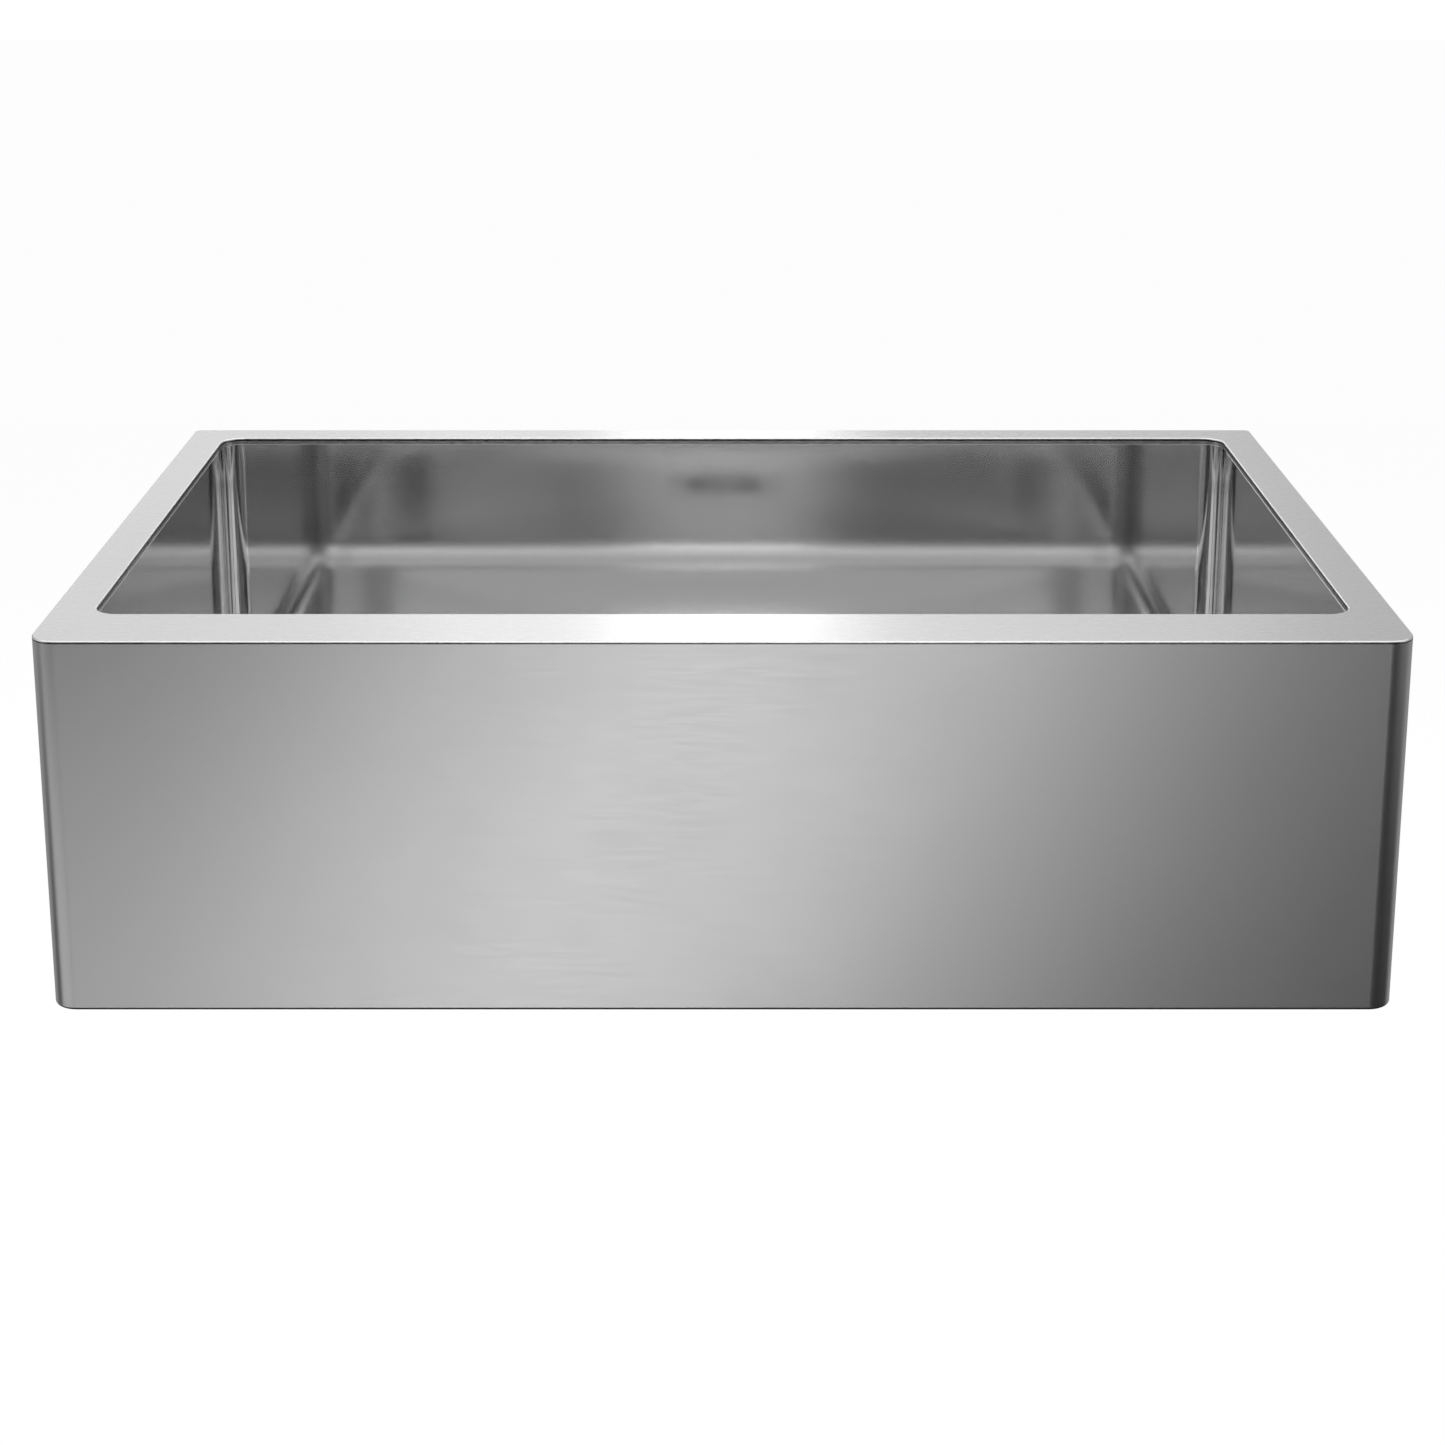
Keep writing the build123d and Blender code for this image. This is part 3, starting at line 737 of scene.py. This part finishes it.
def soft_finish(name, colour, roughness, pebble, relief, mottle=0.15):
    """A matt, mottled skin for rubber, putty, paper and plastic."""
    finish = new_finish(name, colour, 0.0, roughness)
    darker = tuple(part * (1 - mottle) for part in colour)
    lighter = tuple(min(1, part * (1 + mottle)) for part in colour)
    mottles = squeezed_noise(finish, (pebble / pebbles_per_mottle,) * 3, detail=4.0)
    mottled = add_node(
        finish,
        "Mix",
        {0: spread(finish, mottles, 0, 1), 6: (*darker, 1), 7: (*lighter, 1)},
        data_type="RGBA",
    ).outputs[2]
    wire(finish, mottled, "Base Color")
    grain = squeezed_noise(finish, (pebble,) * 3, detail=3.0)
    sheen = spread(finish, grain, roughness - skin_uneven, roughness + skin_uneven)
    wire(finish, sheen, "Roughness")
    bump(finish, grain, relief, skin_relief)
    return finish


finishes["pad_rubber"] = soft_finish(
    "pad_rubber_pebbled", (0.045, 0.046, 0.05), roughness=0.75, pebble=420, relief=0.5
)
finishes["seal_rubber"] = soft_finish(
    "seal_rubber_smooth", (0.03, 0.03, 0.032), roughness=0.5, pebble=900, relief=0.2
)
finishes["putty"] = soft_finish(
    "putty_pressed", (0.52, 0.49, 0.42), roughness=0.7, pebble=260, relief=0.4
)
finishes["fibre"] = soft_finish(
    "fibre_washer_card", (0.42, 0.30, 0.18), roughness=0.85, pebble=1200, relief=0.4, mottle=0.25
)
finishes["washer_plastic"] = soft_finish(
    "washer_plastic_white", (0.75, 0.75, 0.73), roughness=0.35, pebble=700, relief=0.1
)

# %% Give every piece its finish
for piece in (rim, apron, bowl):
    piece.data.materials.clear()
    piece.data.materials.append(finishes[piece["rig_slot"]])
for solid in frame["nodes"].values():
    slot_name = solid.material_slots[0].material.name
    solid.material_slots[0].material = finishes[slot_name]
print("finishes", len(finishes))

# %% [markdown]
# ## The studio
# Polished metal is mostly a picture of the room, so the room matters as much as the finish. The
# floor and the world are plain and pale. Soft boxes make each bright patch: low ones in front for
# the apron, wide ones behind for the rim, and high ones for the bowl. Grey and black cards stand
# round the sink, seen only in reflections, and give the steel its darker sides.

# %% Floor and world
floor_height = -2.4
floor_size = 60
floor_grey = 0.95
glow_share = 0.8
sky_light = 0.95


def plain(name, colour, strength):
    """Lit white mixed with a steady white glow that only the camera, mirrors and glass see."""
    finish = new_finish(name, colour, metallic=0.0, roughness=0.9)
    path = add_node(finish, "LightPath").outputs
    seen = maths(finish, "MAXIMUM", path["Is Camera Ray"], path["Is Glossy Ray"])
    seen = maths(finish, "MAXIMUM", seen, path["Is Transmission Ray"])
    glow = add_node(finish, "Emission", {"Color": (1, 1, 1, 1), "Strength": strength})
    lit = finish.node_tree.nodes["Principled BSDF"].outputs[0]
    share = maths(finish, "MULTIPLY", seen, glow_share)
    mixed = add_node(finish, "MixShader", {0: share, 1: lit, 2: glow.outputs[0]})
    surface = finish.node_tree.nodes["Material Output"].inputs["Surface"]
    finish.node_tree.links.new(mixed.outputs[0], surface)
    return finish


bpy.ops.object.select_all(action="DESELECT")
bpy.ops.mesh.primitive_plane_add(size=floor_size, location=(0, 0, floor_height))
floor = bpy.context.active_object
floor.name = "floor"
floor.data.materials.append(plain("floor_white", (floor_grey,) * 3, strength=1.0))

world = bpy.data.worlds.new("studio")
bpy.context.scene.world = world
world.use_nodes = True
ambient = world.node_tree.nodes["Background"]
ambient.inputs["Color"].default_value = (1, 1, 1, 1)
ambient.inputs["Strength"].default_value = sky_light
backdrop = add_node(world, "Background", {"Color": (1, 1, 1, 1), "Strength": 1.0})
rays = add_node(world, "LightPath").outputs
seen_ray = maths(world, "MAXIMUM", rays["Is Camera Ray"], rays["Is Glossy Ray"])
seen_ray = maths(world, "MAXIMUM", seen_ray, rays["Is Transmission Ray"])
sky = add_node(world, "MixShader", {0: seen_ray, 1: ambient.outputs[0], 2: backdrop.outputs[0]})
world.node_tree.links.new(sky.outputs[0], world.node_tree.nodes["World Output"].inputs[0])
print("floor", floor_size, "across at", floor_height, "and a sky of", sky_light)

# %% Soft boxes and reflection cards
def aim(thing, target, turn=0.0):
    """Point a lamp or card at a place."""
    direction = Vector(target) - thing.location
    thing.rotation_euler = direction.to_track_quat("-Z", "Y").to_euler()
    thing.rotation_euler.rotate_axis("Z", turn)


sink_middle = Vector((0, -0.3, -0.05))


def soft_box(name, azimuth, elevation, wide, tall, brightness, distance=8.0, lean=0.0):
    """A flat lamp placed by its direction from the sink; brightness 1 looks white in a mirror."""
    side, lift = radians(azimuth), radians(elevation)
    direction = Vector((cos(lift) * sin(side), -cos(lift) * cos(side), sin(lift)))
    lamp = bpy.data.lights.new(name, "AREA")
    lamp.shape = "RECTANGLE"
    lamp.size = 2 * distance * tan(radians(wide / 2))
    lamp.size_y = 2 * distance * tan(radians(tall / 2))
    lamp.energy = brightness * pi * lamp.size * lamp.size_y
    box = bpy.data.objects.new(name, lamp)
    bpy.context.scene.collection.objects.link(box)
    box.location = sink_middle + distance * direction
    box.visible_camera = False
    aim(box, sink_middle, radians(lean))


def grey_card(name, place, target, width, height, grey):
    """A card that the camera and the lamps don't see, only the steel."""
    bpy.ops.object.select_all(action="DESELECT")
    bpy.ops.mesh.primitive_plane_add(size=1, location=place)
    card = bpy.context.active_object
    card.name = name
    card.scale = (width, height, 1)
    aim(card, target)
    card.visible_camera = False
    card.visible_diffuse = False
    card.visible_shadow = False
    card.visible_transmission = False
    felt = bpy.data.materials.new(name)
    felt.use_nodes = True
    glow = add_node(felt, "Emission", {"Color": (grey, grey, grey, 1), "Strength": 1.0})
    surface = felt.node_tree.nodes["Material Output"].inputs["Surface"]
    felt.node_tree.links.new(glow.outputs[0], surface)
    card.data.materials.append(felt)


# Each box: direction and height in degrees as the sink sees it, width and height in degrees,
# brightness, distance and lean.
soft_box("low_strip", -1, -18, 13, 34, 2.0, 4, -29)
soft_box("low_left_box", -50, -26, 50, 20, 0.7, 3.6)
soft_box("front_bar", 0, 19, 28, 6, 1.4)
soft_box("front_box", 0, 32, 10, 18, 3.0)
soft_box("top_box", 180, 76, 22, 16, 0.25)
soft_box("rear_high_box", 180, 57, 50, 14, 0.35)
soft_box("rear_core", 180, 16, 6, 12, 1.8, 7.8)
soft_box("rear_bar", 177, 20, 22, 6, 0.65, 7.9)
soft_box("rear_slot", 180, 34, 5, 12, 3.2)
soft_box("rear_left_box", -162, 17, 26, 14, 0.86)
soft_box("rear_right_box", 162, 17, 26, 14, 0.38)
soft_box("left_bar", -75, 16, 26, 10, 1.0)
soft_box("right_bar", 75, 16, 26, 10, 1.0)

# Each card: its place, the place it looks at, its width and height in metres, and its grey.
wall, wall_height, wall_middle = 22, 12, 3.6
grey_card("floor_card", (0, -4.7, -2.35), (0, -4.7, 1), 16, 11.4, 0.01)
grey_card("outer_floor_card", (0, 0, -2.38), (0, 0, 1), 21, 21, 0.38)
grey_card("front_card", (0, -10.3, 0), (0, 0, 0), wall, 4.9, 0.01)
grey_card("front_high_card", (0, -10.4, 5.7), (0, 0, 5.7), wall, 6.6, 0.12)
grey_card("left_card", (-10.6, 0, wall_middle), (0, 0, wall_middle), wall, wall_height, 0.42)
grey_card("right_card", (10.6, 0, wall_middle), (0, 0, wall_middle), wall, wall_height, 0.38)
grey_card("rear_card", (0, 10, wall_middle), (0, 0, wall_middle), wall, wall_height, 0.32)
card_count = sum(thing.name.endswith("_card") for thing in bpy.data.objects)
print("soft boxes", len(bpy.data.lights), "and cards", card_count)

# %% [markdown]
# ## The camera
# The photograph was taken from straight ahead with a slight look down. Its height, distance and
# lens were worked out from the edges of the rim and the apron, and a small shift stands for its
# crop. The bowl mirrors itself several times over, so reflections get one bounce more than usual.

# %% Camera
camera_distance = 1.591
camera_height = 0.502
look_down = radians(14.71)
focal_length = 69.0  # millimetres, as the sensor's width
sensor_width = 36
crop_shift = -0.15
mirror_bounces = 5
lens = bpy.data.cameras.new("camera")
lens.lens = focal_length
lens.sensor_width = sensor_width
lens.shift_y = crop_shift
camera = bpy.data.objects.new("camera", lens)
bpy.context.scene.collection.objects.link(camera)
camera.location = (0, rim_low.y - camera_distance, sheet + camera_height)
camera.rotation_euler = (pi / 2 - look_down, 0, 0)
bpy.context.scene.camera = camera
bpy.context.scene.view_settings.view_transform = "Standard"
bpy.context.scene.cycles.glossy_bounces = mirror_bounces
print("camera at", camera.location)
